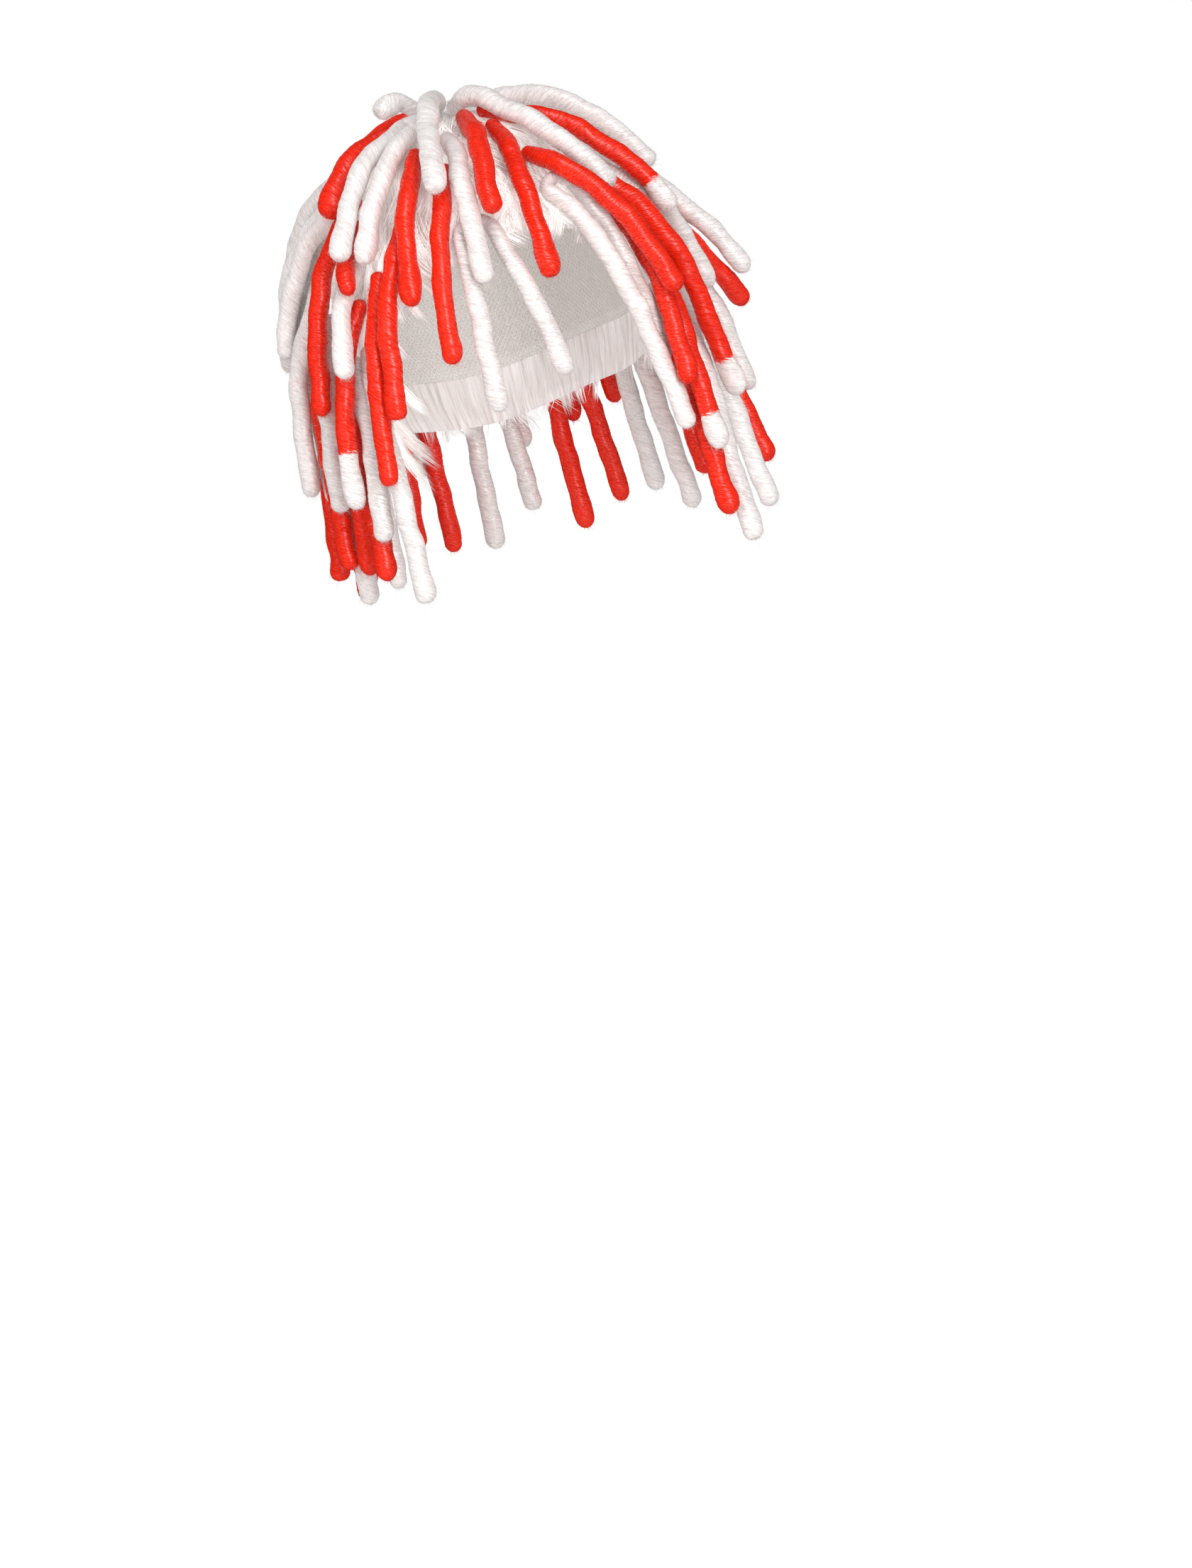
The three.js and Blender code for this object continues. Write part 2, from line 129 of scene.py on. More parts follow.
BACK_FIBRES_PER_MM = 1.0
TIP_FIBRES = 90
ROOT_FIBRES = 36
ROOT_REACH = 5 * MM

# Strands: the corners of their section, and the share of the width at the root and near the tip
STRAND_CORNERS = np.array([-150, -30, 90]) * DEGREE
STRAND_TAPER = (0.5, 0.28)

# Short hair, with offsets from the head form
HAIR_SEED = 42
HAIR_INSIDE = 2.1 * MM
HAIR_OUTSIDE = 4.9 * MM
HAIR_EDGE = 0.6 * MM  # thickness of the hair's bed at its rim
HAIR_CLUMP = 0.7 * MM
STRAND_OFFSET = 4.2 * MM  # where strands leave the bed
STRAND_RISE = 0.9 * MM  # how far they all rise over it
STRAND_LAYER = 1.5 * MM  # how much higher a clump may lie
STRAND_LOOSENESS = 0.25 * MM
CLUMP_LIFT = (1.4, 1.1 * MM)  # shape and scale of the gamma spread of lifts at the clumps' ends
RISEN_BY = 0.35  # share of a strand's length over which it rises
HAIR_WIDTH = 0.62 * MM  # of a flat strand of a few fibres
HAIR_DEPTH = 0.24 * MM
HAIR_COLUMNS = 240
HAIR_ROWS = 32
CAP_COLUMNS = 160
CAP_ROWS = 36

# Combing: clumps of strands, which start at shares of the way to the rim and end near it
HEADING = 34 * DEGREE
CURL = 0.3
CLUMP_WIDTH = 1.7 * MM
CLUMP_LENGTH = 2.2 * MM
CLUMP_NARROWING = 0.5
STRAY = 1.6 * DEGREE  # of one strand from its clump's heading
OWN_LENGTH = (0.86, 1.06)  # least and greatest share of its clump's length
LEAST_POLAR = 0.05  # radians, which keeps strands off the crown's point
LEAST_GIRTH = 0.3  # share of the head's girth, for the angles of widths near the crown
FRONT = (-95 * DEGREE, 95 * DEGREE)
BACK = (95 * DEGREE, 265 * DEGREE)
BROW = (-75 * DEGREE, 75 * DEGREE)
STRAND_LENGTHS = (24 * MM, 44 * MM)
BROW_LENGTHS = (26 * MM, 40 * MM)
Layer = namedtuple("Layer", "clumps per_clump azimuths starts lengths past_rim points")
LAYERS = {
    "front_hair": Layer(400, 11, FRONT, (0.12, 0.95), STRAND_LENGTHS, (-9 * MM, 3 * MM), 6),
    "back_hair": Layer(260, 10, BACK, (0.12, 0.95), STRAND_LENGTHS, (-9 * MM, 5 * MM), 5),
    "fringe": Layer(90, 22, BROW, (0.7, 0.98), BROW_LENGTHS, (1 * MM, 7 * MM), 7),
    "nape_fringe": Layer(60, 14, BACK, (0.75, 0.98), STRAND_LENGTHS, (2 * MM, 9 * MM), 6),
}

# Wisps at the temples: root, way of the start and way of the end, in millimetres
WISPS = [
    ((-64, -56, -100), ((-10, -1, -15), (8, -8, -35))),
    ((-68, -52, -104), ((-15, 2, -29), (10, -11, -56))),
    ((-70, -48, -106), ((-12, -1, -35), (8, -5, -65))),
    ((66, -54, -102), ((8, -4, -24), (-6, -10, -44))),
]
WISP_STRANDS = 70
WISP_WIDTH = 5 * MM
WISP_NARROWING = 0.75
WISP_DEPTH = 0.4 * MM
WISP_LENGTHS = (0.86, 1.03)  # least and greatest share of the wisp's length
WISP_LOOSENESS = 0.7 * MM
WISP_POINTS = 8

# Names of maps and values on the meshes
WINDING = "winding"  # map of a lock: turns round it, and millimetres along it
COMBING = "combing"  # map of a shell: millimetres round it, and millimetres down it
# Along a strand of hair, tone also holds painted shade at the roots and a painted highlight band.
TONE = "tone"  # lightness of one lock or one strand, from 0 to 1
PAST_CHANGE = "past_change"  # millimetres past the line where a lock's thread changes colour

# Colours. A thread's groove colour is painted shade in the grooves between its turns, and its ridge colour
# the thread's own colour. Gloss is the refractive index of a thread's shine, and satin its roughness
Thread = namedtuple("Thread", "groove ridge fuzz gloss satin")
RED = Thread((0.60, 0.011, 0.0004, 1), (0.85, 0.018, 0.0006, 1), (0.95, 0.03, 0.005, 1), 1.7, 0.35)
WHITE = Thread((0.55, 0.498, 0.483, 1), (0.88, 0.845, 0.83, 1), (1.0, 0.96, 0.94, 1), 2.7, 0.44)
# The hair's two colours are mixed by tone, which holds painted shade and a painted highlight band. The
# bed's two are mixed by the height of its streaks, as painted shade between them.
HAIR_SHADE = (0.58, 0.51, 0.49, 1)
HAIR_LIGHT = (0.99, 0.98, 0.97, 1)
BED_SHADE = (0.62, 0.56, 0.54, 1)
BED_LIGHT = (0.96, 0.94, 0.93, 1)
NET_GAP = (0.86, 0.83, 0.80, 1)
NET_THREAD = (0.98, 0.96, 0.94, 1)
NET_WEAR = (0.86, 0.82, 0.79, 1)
FLOOR_COLOUR = (0.9, 0.9, 0.9, 1)
PURE_WHITE = (1, 1, 1, 1)
BLACK = (0, 0, 0, 1)

# Studio
AIM = Vector((0, -83, -112)) * MM  # a point in the front opening
AIM_PIXEL = (754, 478)
PICTURE = (1680, 2210)
PIXELS_PER_METRE = 2920  # of the picture, at the aim point
CAMERA_DISTANCE = 2.2
CAMERA_TURN = 10 * DEGREE
CAMERA_RISE = 2 * DEGREE
CAMERA_ROLL = 15 * DEGREE
SENSOR = 36  # millimetres, along the picture's longer side
FLOOR_HEIGHT = -0.75
FLOOR_SIZE = 9.0
FLOOR_GLOW = 0.8
AMBIENT = 0.4  # strength of the light from all round
SoftBox = namedtuple("SoftBox", "place width height power glints")
SOFT_BOXES = {
    "key": SoftBox((0.3, -2.55, 0.15), 0.7, 2.2, 40, True),
    "top": SoftBox((0.2, -1.4, 1.7), 0.55, 1.5, 17, True),
    "left": SoftBox((-1.8, -1.6, 0.2), 1.6, 1.6, 28, False),
    "right": SoftBox((2.0, -0.9, 0.2), 1.6, 1.6, 6, False),
    "back": SoftBox((-0.6, 2.0, 1.2), 1.6, 1.6, 34, False),
}


def unit(vectors):
    return vectors / np.linalg.norm(vectors, axis=-1, keepdims=True)


def smooth_step(share):
    held = np.clip(share, 0, 1)
    return held * held * (3 - 2 * held)


# Materials


class Flow:
    """A value inside a material. Sums and products of flows and numbers add their Math nodes."""

    def __init__(self, nodes, socket):
        self.nodes = nodes
        self.socket = socket

    def output(self, name):
        return Flow(self.nodes, self.socket.node.outputs[name])

    def maths(self, operation, *terms):
        return self.nodes.node("ShaderNodeMath", {"operation": operation}, dict(enumerate(terms)))

    def __add__(self, other):
        return self.maths("ADD", self, other)

    def __radd__(self, other):
        return self.maths("ADD", other, self)

    def __sub__(self, other):
        return self.maths("SUBTRACT", self, other)

    def __rsub__(self, other):
        return self.maths("SUBTRACT", other, self)

    def __mul__(self, other):
        return self.maths("MULTIPLY", self, other)

    def __rmul__(self, other):
        return self.maths("MULTIPLY", other, self)

    def __truediv__(self, other):
        return self.maths("DIVIDE", self, other)

    def __rtruediv__(self, other):
        return self.maths("DIVIDE", other, self)

    def steepened(self, level, contrast):
        """The value set against a level, which becomes 0."""
        return (self - level) * contrast

    def clamped(self):
        return self.nodes.node("ShaderNodeClamp", {}, {"Value": self})


class Nodes:
    """A node tree, with one method that adds any node to it."""

    def __init__(self, tree):
        self.tree = tree

    def node(self, kind, settings, sockets, output=0):
        made = self.tree.nodes.new(kind)
        for name, value in settings.items():
            setattr(made, name, value)
        for name, value in sockets.items():
            self.fill(made.inputs[name], value)
        return Flow(self, made.outputs[output])

    def fill(self, socket, value):
        if isinstance(value, Flow):
            self.tree.links.new(value.socket, socket)
        else:
            socket.default_value = value


class Finish(Nodes):
    """A procedural material."""

    def __init__(self, name):
        self.material = bpy.data.materials.new(name)
        self.material.use_nodes = True
        super().__init__(self.material.node_tree)
        self.shader = self.tree.nodes["Principled BSDF"]

    def surface(self, sockets):
        for name, value in sockets.items():
            self.fill(self.shader.inputs[name], value)

    def mixed(self, share, first, second, blend="MIX"):
        """Two colours mixed. A Mix node keeps its colours in sockets 6 and 7, and their mix in output 2."""
        settings = {"data_type": "RGBA", "blend_type": blend}
        return self.node("ShaderNodeMix", settings, {0: share, 6: first, 7: second}, 2)

    def map(self, name):
        place = self.node("ShaderNodeUVMap", {"uv_map": name}, {})
        return self.node("ShaderNodeSeparateXYZ", {}, {0: place})

    def attribute(self, name):
        return self.node("ShaderNodeAttribute", {"attribute_name": name}, {}, "Fac")

    def noise(self, across, along, pitch, seed, detail):
        """Smooth noise over a map, whose pitch is its waves in a unit across and in a unit along."""
        sockets = {"X": across * pitch[0], "Y": along * pitch[1], "Z": seed}
        place = self.node("ShaderNodeCombineXYZ", {}, sockets)
        sockets = {"Vector": place, "Scale": 1.0, "Detail": detail, "Roughness": 0.6}
        return self.node("ShaderNodeTexNoise", {}, sockets)

    def bump(self, height, distance):
        sockets = {"Height": height, "Distance": distance, "Strength": 1.0}
        return self.node("ShaderNodeBump", {}, sockets)


def thread_finish(name, thread, end_thread=None):
    """Fine satin thread wound round a lock, with ridges a fraction of a millimetre apart and painted shade
    in the grooves between them.
    """
    least_climb = 8.0  # millimetres that the winding climbs in one turn
    more_climb = 14.0
    fine_pitch = (12.0, 2.4)
    strand_pitch = (3.0, 0.8)
    ragged_pitch = (9.0, 0.9)
    ragged_reach = 8.0  # millimetres from the highest to the lowest that a change of colour may run
    change_length = 1.4
    ridge_height = 0.55 * MM
    finish = Finish(name)
    around = finish.map(WINDING)
    along = around.output("Y")
    tone = finish.attribute(TONE)
    lay = along + around * (least_climb + tone * more_climb)
    fine = finish.noise(around, lay, fine_pitch, seed=tone * 40.0, detail=1.0)
    strand = finish.noise(around, lay, strand_pitch, seed=tone * 70.0 + 9.0, detail=1.0)
    height = fine * 0.6 + strand * 0.4
    # Painted shade: where the winding is low the colour darkens towards the groove colour, and each lock's
    # random tone lifts or lowers it.
    light = (height.steepened(0.36, 3.6) + tone.steepened(0.5, 0.3)).clamped()
    shine = fine.steepened(0.43, 8.0) * (0.2 + strand * 1.6)
    colour = finish.mixed(light, thread.groove, thread.ridge)
    if end_thread:
        ragged = finish.noise(around, lay, ragged_pitch, seed=5.0, detail=2.0)
        past = finish.attribute(PAST_CHANGE) + ragged.steepened(0.5, ragged_reach)
        # The white end carries the same painted groove shade.
        end = finish.mixed(light, end_thread.groove, end_thread.ridge)
        colour = finish.mixed((past / change_length + 0.5).clamped(), colour, end)
    finish.surface({
        "Base Color": colour,
        "Roughness": 0.45 + fine * 0.2,
        "Normal": finish.bump(height, ridge_height),
        "Specular IOR Level": 0.1,
        "Coat Weight": shine.clamped(),
        "Coat Roughness": thread.satin,
        "Coat IOR": thread.gloss,
        "Sheen Weight": 0.06,
        "Sheen Roughness": 0.5,
        "Sheen Tint": thread.fuzz,
    })
    return finish.material


def hair_finish():
    """Straight, shiny white fibre, whose lightness changes along each strand with painted shade and a
    painted highlight band. Its painted glow stands for the light that passes through thin hair.
    """
    finish = Finish("combed_white_hair")
    tone = finish.attribute(TONE)
    colour = finish.mixed(tone, HAIR_SHADE, HAIR_LIGHT)
    finish.surface({
        "Base Color": colour,
        "Roughness": 0.24 + tone * 0.14,
        "Specular IOR Level": 1.0,
        # A painted glow in the hair's own colour.
        "Emission Color": finish.mixed(1.0, colour, colour, "MULTIPLY"),
        "Emission Strength": 0.32,
    })
    return finish.material


def hair_bed_finish():
    """The hair close to the cap, laid in streaks from the crown down, with painted shade between the
    streaks and a faint painted glow.
    """
    drift_pitch = (0.08, 0.05)
    drift_reach = 4.0  # millimetres
    streak_pitch = (2.4, 0.06)
    clump_pitch = (0.35, 0.03)
    streak_height = 1.6 * MM
    finish = Finish("hair_bed")
    across = finish.map(COMBING)
    down = across.output("Y")
    drifted = across + finish.noise(across, down, drift_pitch, seed=3.0, detail=1.0) * drift_reach
    streak = finish.noise(drifted, down, streak_pitch, seed=1.0, detail=3.0)
    clump = finish.noise(drifted, down, clump_pitch, seed=7.0, detail=1.0)
    height = streak * 0.5 + clump * 0.5
    # Painted shade: low places between the streaks take the darker colour.
    colour = finish.mixed(height.steepened(0.36, 3.4).clamped(), BED_SHADE, BED_LIGHT)
    finish.surface({
        "Base Color": colour,
        # A painted glow in the bed's own colour.
        "Emission Color": colour,
        "Emission Strength": 0.26,
        "Roughness": 0.34 + streak * 0.24,
        "Normal": finish.bump(height, streak_height),
        "Specular IOR Level": 0.5,
    })
    return finish.material


def net_finish():
    """Stretch net: two families of slanted threads over a pale backing."""
    cell = 2.6  # millimetres
    wear_pitch = (0.12, 0.12)
    thread_height = 0.35 * MM
    finish = Finish("stretch_net")
    across = finish.map(COMBING)
    down = across.output("Y")
    rising = across.maths("PINGPONG", (across + down) / cell, 0.5)
    falling = across.maths("PINGPONG", (across - down) / cell, 0.5)
    gap = across.maths("MINIMUM", rising, falling)
    thread = (1.25 - gap * 5.0).clamped()
    wear = finish.noise(across, down, wear_pitch, seed=2.0, detail=2.0)
    cloth = finish.mixed(thread, NET_GAP, NET_THREAD)
    finish.surface({
        "Base Color": finish.mixed((wear * 0.5).clamped(), cloth, NET_WEAR, "MULTIPLY"),
        "Roughness": 0.85 - thread * 0.25,
        "Normal": finish.bump(thread + wear * 0.2, thread_height),
        "Specular IOR Level": 0.25,
    })
    return finish.material


# Meshes


def piece(name, points, triangles, material, maps, values):
    """A piece of the wig from arrays: points, triangles, maps by corner and values by point."""
    mesh = bpy.data.meshes.new(name)
    mesh.vertices.add(len(points))
    mesh.vertices.foreach_set("co", np.ascontiguousarray(points, np.float32).ravel())
    mesh.loops.add(triangles.size)
    mesh.loops.foreach_set("vertex_index", np.ascontiguousarray(triangles, np.int32).ravel())
    mesh.polygons.add(len(triangles))
    mesh.polygons.foreach_set("loop_start", np.arange(0, triangles.size, 3, dtype=np.int32))
    mesh.polygons.foreach_set("use_smooth", np.ones(len(triangles), bool))
    mesh.update(calc_edges=True)
    for title, places in maps.items():
        layer = mesh.uv_layers.new(name=title)
        layer.uv.foreach_set("vector", np.ascontiguousarray(places, np.float32).ravel())
    for title, amounts in values.items():
        attribute = mesh.attributes.new(title, "FLOAT", "POINT")
        attribute.data.foreach_set("value", np.ascontiguousarray(amounts, np.float32).ravel())
    mesh.materials.append(material)
    made = bpy.data.objects.new(name, mesh)
    bpy.context.scene.collection.objects.link(made)
    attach(made, "root")
    return made


def grid_triangles(rows, columns):
    """Two triangles for each cell of a grid whose columns go round, as (row, column) pairs."""
    row, column = np.meshgrid(np.arange(rows - 1), np.arange(columns), indexing="ij")
    corner = np.stack([row.ravel(), column.ravel()], axis=-1)
    beside = corner + [0, 1]
    below = corner + [1, 0]
    across = corner + [1, 1]
    upper = np.stack([corner, beside, across], axis=1)
    lower = np.stack([corner, across, below], axis=1)
    return np.concatenate([upper, lower])


def numbered(cells, columns):
    """(row, column) pairs of a grid whose columns go round, as numbers of its points."""
    return cells[..., 0] * columns + cells[..., 1] % columns


def closing_fans(rows, columns):
    """Triangles from the first and the last row of a grid to two points that follow those of the grid."""
    column = np.arange(columns)
    beside = (column + 1) % columns
    last = (rows - 1) * columns
    start = np.full(columns, rows * columns)
    first_fan = np.stack([start, beside, column], axis=1)
    last_fan = np.stack([start + 1, last + column, last + beside], axis=1)
    return np.concatenate([first_fan, last_fan])


# Locks


def node_shape(node):
    """The places of a node's corners, each once, and its triangles as numbers into them."""
    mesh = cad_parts[node].data
    places = np.empty(len(mesh.vertices) * 3)
    mesh.vertices.foreach_get("co", places)
    points, number = np.unique(places.reshape(-1, 3).round(6), axis=0, return_inverse=True)
    corners = np.empty(len(mesh.loops), np.int32)
    mesh.loops.foreach_get("vertex_index", corners)
    return points, number.ravel()[corners].reshape(-1, 3)


def rings_from(start, near):
    """Rings of points, each the neighbours of the one before, from a first point to the last."""
    rings = [[start]]
    seen = {start}
    while len(seen) < len(near):
        ahead = set().union(*(near[point] for point in rings[-1])) - seen
        seen |= ahead
        rings.append(sorted(ahead))
    return rings


def lock_rings(node):
    """Centres and half girths of a lock's rings, from one end point to the other, with its root first."""
    points, triangles = node_shape(node)
    near = [set() for _ in points]
    for triangle in triangles:
        for corner in triangle:
            near[corner].update(triangle)
    for start in range(len(points)):
        rings = rings_from(start, near)
        if len(rings[-1]) == 1 and len({len(ring) for ring in rings[1:-1]}) == 1:
            break
    else:
        raise ValueError(f"{node} is not a closed tube of even rings")
    centres = np.array([points[ring].mean(axis=0) for ring in rings])
    reaches = [points[ring] - centre for ring, centre in zip(rings, centres)]
    halves = np.array([np.linalg.norm(reach, axis=1).mean() for reach in reaches])
    if starts_with_tip(centres) and not starts_with_tip(centres[::-1]):
        return centres[::-1], halves[::-1]
    return centres, halves


def starts_with_tip(centres):
    return np.linalg.norm(centres[2] - centres[1]) < NOSE_REACH


def smooth_line(knots, at, knot_at):
    """Points of a smooth curve through the knots, at given distances along their chords."""
    slope = np.gradient(knots, knot_at, axis=0)
    first = np.clip(np.searchsorted(knot_at, at, side="right") - 1, 0, len(knots) - 2)
    span = (knot_at[first + 1] - knot_at[first])[:, None]
    share = (at - knot_at[first])[:, None] / span
    rest = 1 - share
    return (
        knots[first] * rest**2 * (1 + 2 * share)
        + knots[first + 1] * share**2 * (1 + 2 * rest)
        + slope[first] * span * share * rest**2
        - slope[first + 1] * span * rest * share**2
    )


def waves(at, pitch, rng):
    """A wandering wave along a lock, between about -1 and 1."""
    total = np.zeros_like(at)
    for stretch in WAVE_STRETCHES:
        length = pitch * stretch * rng.uniform(*WAVE_SPREAD)
        total += np.sin(TURN * (at / length + rng.random()))
    return total / WAVE_REACH


def rounded(distance, length, bluntness):
    """Share of the full girth at a distance from a rounded end."""
    back = 1 - np.clip(distance / length, 0, 1)
    return (1 - back**bluntness) ** (1 / bluntness)


class WoundLock:
    """One lock: its axis and frames, its wound skin and where its thread changes colour."""

    def __init__(self, node):
        self.node = node
        number = int(node.rsplit("_", 1)[1])
        self.rng = np.random.default_rng(LOCK_SEED + number)
        self.is_back = number >= FIRST_BACK_LOCK
        self.weave = BACK_WEAVE if self.is_back else FRONT_WEAVE
        self.measure(*lock_rings(node))
        self.turn_frames()
        self.wander()
        self.wind()

    def measure(self, centres, halves):
        """The axis through the rings of the solid, without the ones that round its tips."""
        self.is_folded = starts_with_tip(centres)
        whole = np.ones(len(centres), bool)
        whole[-2] = False
        if self.is_folded:
            whole[1] = False
        knots = centres[whole]
        knot_at = np.concatenate([[0], np.cumsum(np.linalg.norm(np.diff(knots, axis=0), axis=1))])
        self.length = knot_at[-1]
        even = np.linspace(0, self.length, int(self.length / self.weave.step))
        self.at = np.unique(np.concatenate([even[1:-1], CLOSING_STEPS, self.length - CLOSING_STEPS]))
        self.axis = smooth_line(knots, self.at, knot_at)
        self.ends = smooth_line(knots, np.array([0, self.length]), knot_at)
        girth = np.interp(self.at, knot_at[1:-1], halves[whole][1:-1])
        full = girth.max()
        self.girth = LOCK_FULLNESS * full * (girth / full) ** ROOT_FULLNESS

    def turn_frames(self):
        """Directions across the axis that turn with it and do not twist, the first towards the head."""
        self.along = unit(np.gradient(self.axis, self.at, axis=0))
        self.inward = np.empty_like(self.along)
        way = HEAD_CENTRE - self.axis[-1]
        for ring in range(len(self.axis) - 1, -1, -1):
            way = way - self.along[ring] * (way @ self.along[ring])
            way /= np.linalg.norm(way)
            self.inward[ring] = way
        self.sideways = np.cross(self.along, self.inward)

    def wander(self):
        """Small bends of the axis, which fade out at both ends."""
        ends = np.minimum(self.at, self.length - self.at)
        reach = WANDER * smooth_step(ends / WANDER_FADE)[:, None]
        for way in (self.inward, self.sideways):
            self.axis = self.axis + way * reach * waves(self.at, WANDER_PITCH, self.rng)[:, None]

    def root_at(self):
        return self.length / 2 if self.is_folded else 0.0

    def tip_distance(self):
        ahead = self.length - self.at
        return np.minimum(self.at, ahead) if self.is_folded else ahead

    def wind(self):
        """The skin: the girth along the axis, with bulges, lobes, wraps, a swollen tip and round ends."""
        rng = self.rng
        angle = TURN * np.arange(self.weave.sides) / self.weave.sides
        at = self.at[:, None]
        swell = 1 + BULGE * waves(at, BULGE_PITCH, rng)
        for lobes in LOBES_ROUND:
            twist = LOBE_TWIST * waves(at, 3 * BULGE_PITCH, rng)
            swell = swell + LOBE * np.cos(lobes * angle + twist)
        wraps = at / (WRAP_PITCH * rng.uniform(*WRAP_SPREAD))
        wraps = wraps + WRAP_DRIFT * waves(at, BULGE_PITCH, rng)
        strength = WRAP * (1 + WRAP_CHANGE * waves(at, 2 * BULGE_PITCH, rng))
        swell = swell + strength * np.sin(TURN * wraps + angle)
        to_tip = self.tip_distance()
        tip_swell = TIP_SWELLS.get(self.node, rng.uniform(*TIP_SWELL))
        self.past_change = np.full(len(self.at), NO_CHANGE)
        if self.node in WHITE_ENDS:
            self.past_change = (WHITE_ENDS[self.node] - to_tip) / MM
            tip_swell = WHITE_END_SWELL
        from_swell = (to_tip - TIP_SWELL_PLACE) / TIP_SWELL_REACH
        profile = self.girth * (1 + tip_swell * np.exp(-(from_swell**2)))
        profile = profile * rounded(to_tip, rng.uniform(*TIP_ROUND), rng.uniform(*TIP_BLUNTNESS))
        if not self.is_folded:
            profile = profile * rounded(self.at, ROOT_ROUND, ROOT_BLUNTNESS)
        inward = self.inward[:, None] * np.cos(angle)[:, None]
        sideways = self.sideways[:, None] * np.sin(angle)[:, None]
        self.skin = self.axis[:, None] + (inward + sideways) * (profile[:, None] * swell)[..., None]

    def build(self, material, slot):
        rings, sides = self.skin.shape[:2]
        cells = grid_triangles(rings, sides)
        triangles = np.concatenate([numbered(cells, sides), closing_fans(rings, sides)])
        side = np.arange(sides)
        first_turns = np.stack([side + 0.5, side + 1, side], axis=1)
        last_turns = np.stack([side + 0.5, side, side + 1], axis=1)
        turns = np.concatenate([cells[..., 1], first_turns, last_turns]) / sides
        end_at = np.concatenate([np.zeros((sides, 3)), np.full((sides, 3), self.length)])
        millimetres = np.concatenate([self.at[cells[..., 0]], end_at]) / MM
        winding = np.stack([turns, millimetres], axis=-1)
        points = np.concatenate([self.skin.reshape(-1, 3), self.ends])
        change = np.concatenate([np.repeat(self.past_change, sides), self.past_change[[0, -1]]])
        values = {TONE: np.full(len(points), self.rng.random()), PAST_CHANGE: change}
        made = piece("wound_" + self.node, points, triangles, material, {WINDING: winding}, values)
        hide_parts(self.node)

    def loose_fibres(self):
        """Short paths of fibres that stand off the lock, its tips and its root, and which are white."""
        rng = self.rng
        per_mm = BACK_FIBRES_PER_MM if self.is_back else FRONT_FIBRES_PER_MM
        body_ring = rng.integers(2, len(self.at) - 2, int(self.length / MM * per_mm))
        body = self.fibres_from(body_ring, BODY_FUZZ)
        near_tip = np.flatnonzero(self.tip_distance() < TIP_ROUND[0])
        tip_ring = rng.choice(near_tip, TIP_FIBRES * (2 if self.is_folded else 1))
        tips = self.fibres_from(tip_ring, TIP_FUZZ)
        near_root = np.flatnonzero(np.abs(self.at - self.root_at()) < ROOT_REACH)
        root_ring = rng.choice(near_root, ROOT_FIBRES)
        roots = self.fibres_from(root_ring, ROOT_FUZZ)
        is_white = self.past_change[np.concatenate([body_ring, tip_ring, root_ring])] > 0
        return np.concatenate([body, tips, roots]), is_white | self.node.startswith("white")

    def fibres_from(self, ring, fuzz):
        """Bent paths that leave the skin at rings, mostly the way that the thread is wound."""
        rng = self.rng
        count = len(ring)
        side = rng.integers(0, self.weave.sides, count)
        root = self.skin[ring, side]
        out = unit(root - self.axis[ring])
        on_first_leg = self.is_folded & (ring < len(self.at) / 2)
        along = self.along[ring] * np.where(on_first_leg, -1, 1)[:, None]
        winding = np.cross(along, out) * rng.choice([-1, 1], count)[:, None]
        stand = fuzz.out * rng.uniform(*FIBRE_STAND, count)[:, None]
        lean = rng.normal(*FIBRE_LEAN, count)[:, None]
        way = unit(winding * FIBRE_WINDING + out * stand + along * fuzz.along * lean)
        bend = rng.normal(0, FIBRE_STRAY, (count, 3)) - out * stand * FIBRE_RETURN
        length = np.clip(rng.gamma(FIBRE_EVENNESS, fuzz.reach, count), *FIBRE_LENGTHS)[:, None, None]
        share = np.linspace(0, 1, FIBRE_POINTS)[None, :, None]
        return root[:, None] + length * (way[:, None] * share + bend[:, None] * share**2 * FIBRE_BEND)


def strand_piece(name, paths, facing, width, depth, tones, material, slot):
    """Thin closed tubes along many paths at once: three sides, a flat root and a pointed tip.

    A strand's width lies square to the way that it faces, and its ridge is on that side.
    """
    count, steps = paths.shape[:2]
    rings = steps - 1
    forward = unit(np.gradient(paths, axis=1))
    across = unit(np.cross(facing, forward))
    over = np.cross(forward, across)
    taper = np.linspace(*STRAND_TAPER, rings)[None, :, None, None]
    flat = across[:, :rings, None] * (width * np.cos(STRAND_CORNERS))[:, None]
    ridge = over[:, :rings, None] * (depth * np.sin(STRAND_CORNERS))[:, None]
    skin = (paths[:, :rings, None] + (flat + ridge) * taper).reshape(count, rings * 3, 3)
    points = np.concatenate([skin, paths[:, -1:]], axis=1)
    tube = numbered(grid_triangles(rings, 3), 3)
    tip = rings * 3
    last = tip - 3
    flat_root = [[0, 2, 1]]
    pointed_tip = [[last, last + 1, tip], [last + 1, last + 2, tip], [last + 2, last, tip]]
    one = np.concatenate([tube, flat_root, pointed_tip])
    triangles = (one[None] + np.arange(count)[:, None, None] * (tip + 1)).reshape(-1, 3)
    by_point = np.concatenate([np.repeat(tones[:, :rings], 3, axis=1), tones[:, -1:]], axis=1)
    piece(name, points.reshape(-1, 3), triangles, material, {}, {TONE: by_point})


